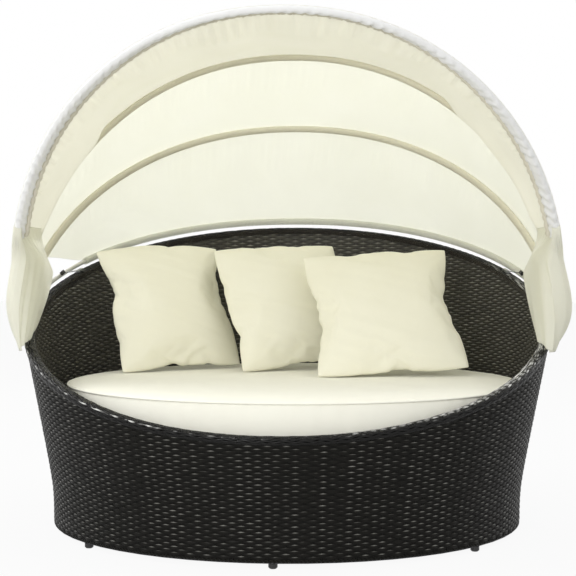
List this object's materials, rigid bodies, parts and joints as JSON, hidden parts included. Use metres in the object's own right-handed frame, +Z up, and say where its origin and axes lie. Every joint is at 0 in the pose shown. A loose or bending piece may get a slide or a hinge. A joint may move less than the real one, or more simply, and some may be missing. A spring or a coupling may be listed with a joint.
{
  "type": "outdoor daybed with canopy",
  "caption": "Oval woven outdoor daybed with a low front and a high back, a seat mattress, loose pillows and a folding cloth canopy on hinged bows.",
  "frame": {"origin": "on the floor, under the middle of the whole outline", "axes": "+Z up, the open front towards -Y, +X to the right of someone who looks at the front"},
  "size_m": [1.93, 1.804, 1.7016],
  "materials": {
    "wicker": "satin woven strands",
    "frame_paint": "powder coated",
    "glide": "moulded",
    "seat_fabric": "woven polyester",
    "pillow_fabric": "woven polyester",
    "canopy_fabric": "light woven polyester",
    "bow_paint": "powder coated",
    "plated_steel": "zinc plated",
    "black_plastic": "moulded"
  },
  "bodies": {
    "root": {"outer_weave": "wicker", "inner_weave": "wicker", "rim_braid": "wicker", "seat_deck": "wicker", "base_ring": "frame_paint", "top_rim_tube": "frame_paint", "upright_1": "frame_paint", "upright_2": "frame_paint", "upright_3": "frame_paint", "upright_4": "frame_paint", "upright_5": "frame_paint", "upright_6": "frame_paint", "upright_7": "frame_paint", "upright_8": "frame_paint", "deck_ring": "frame_paint", "cross_bar_1": "frame_paint", "cross_bar_2": "frame_paint", "cross_bar_3": "frame_paint", "foot_glide_1": "glide", "foot_glide_2": "glide", "foot_glide_3": "glide", "foot_glide_4": "glide", "foot_glide_5": "glide", "foot_glide_6": "glide", "mattress": "seat_fabric", "pillow_left": "pillow_fabric", "pillow_middle": "pillow_fabric", "pillow_right": "pillow_fabric", "rear_bow": "bow_paint", "rear_sleeve": "canopy_fabric", "rear_panel": "canopy_fabric", "hub_bracket_left": "plated_steel", "hub_bracket_right": "plated_steel", "pivot_pin_left": "plated_steel", "pivot_pin_right": "plated_steel", "pivot_knob_left": "black_plastic", "pivot_knob_right": "black_plastic", "pivot_washer_left_1": "black_plastic", "pivot_washer_left_2": "black_plastic", "pivot_washer_left_3": "black_plastic", "pivot_washer_right_1": "black_plastic", "pivot_washer_right_2": "black_plastic", "pivot_washer_right_3": "black_plastic", "rim_clip_left": "plated_steel", "rim_clip_right": "plated_steel", "stay_left": "plated_steel", "stay_right": "plated_steel", "stay_knuckle_left": "black_plastic", "stay_knuckle_right": "black_plastic"},
    "third_bow": {"third_bow": "bow_paint", "third_sleeve": "canopy_fabric", "middle_panel": "canopy_fabric"},
    "second_bow": {"second_bow": "bow_paint", "second_sleeve": "canopy_fabric", "front_panel": "canopy_fabric", "side_wing_left": "canopy_fabric", "side_wing_right": "canopy_fabric"},
    "front_bow": {"front_bow": "bow_paint", "front_sleeve": "canopy_fabric"}
  },
  "joints": [
    {"name": "third_bow_fold", "type": "hinge", "parent": "root", "child": "third_bow", "pos_m": [0.9307, -0.1329, 0.7271], "axis": [-1, 0, 0], "range_deg": [0, 15.32], "deforming": ["rear_panel"]},
    {"name": "second_bow_fold", "type": "hinge", "parent": "third_bow", "child": "second_bow", "pos_m": [0.9307, -0.1329, 0.7271], "axis": [-1, 0, 0], "range_deg": [0, 13.62], "deforming": ["middle_panel"]},
    {"name": "canopy_fold", "type": "hinge", "parent": "second_bow", "child": "front_bow", "pos_m": [0.9307, -0.1329, 0.7271], "axis": [-1, 0, 0], "range_deg": [0, 47.9], "deforming": ["front_panel", "side_wing_left", "side_wing_right"]}
  ],
  "couplings": [
    {"joint": "third_bow_fold", "follows": "canopy_fold", "ratio": 0.31942},
    {"joint": "second_bow_fold", "follows": "canopy_fold", "ratio": 0.28392}
  ]
}
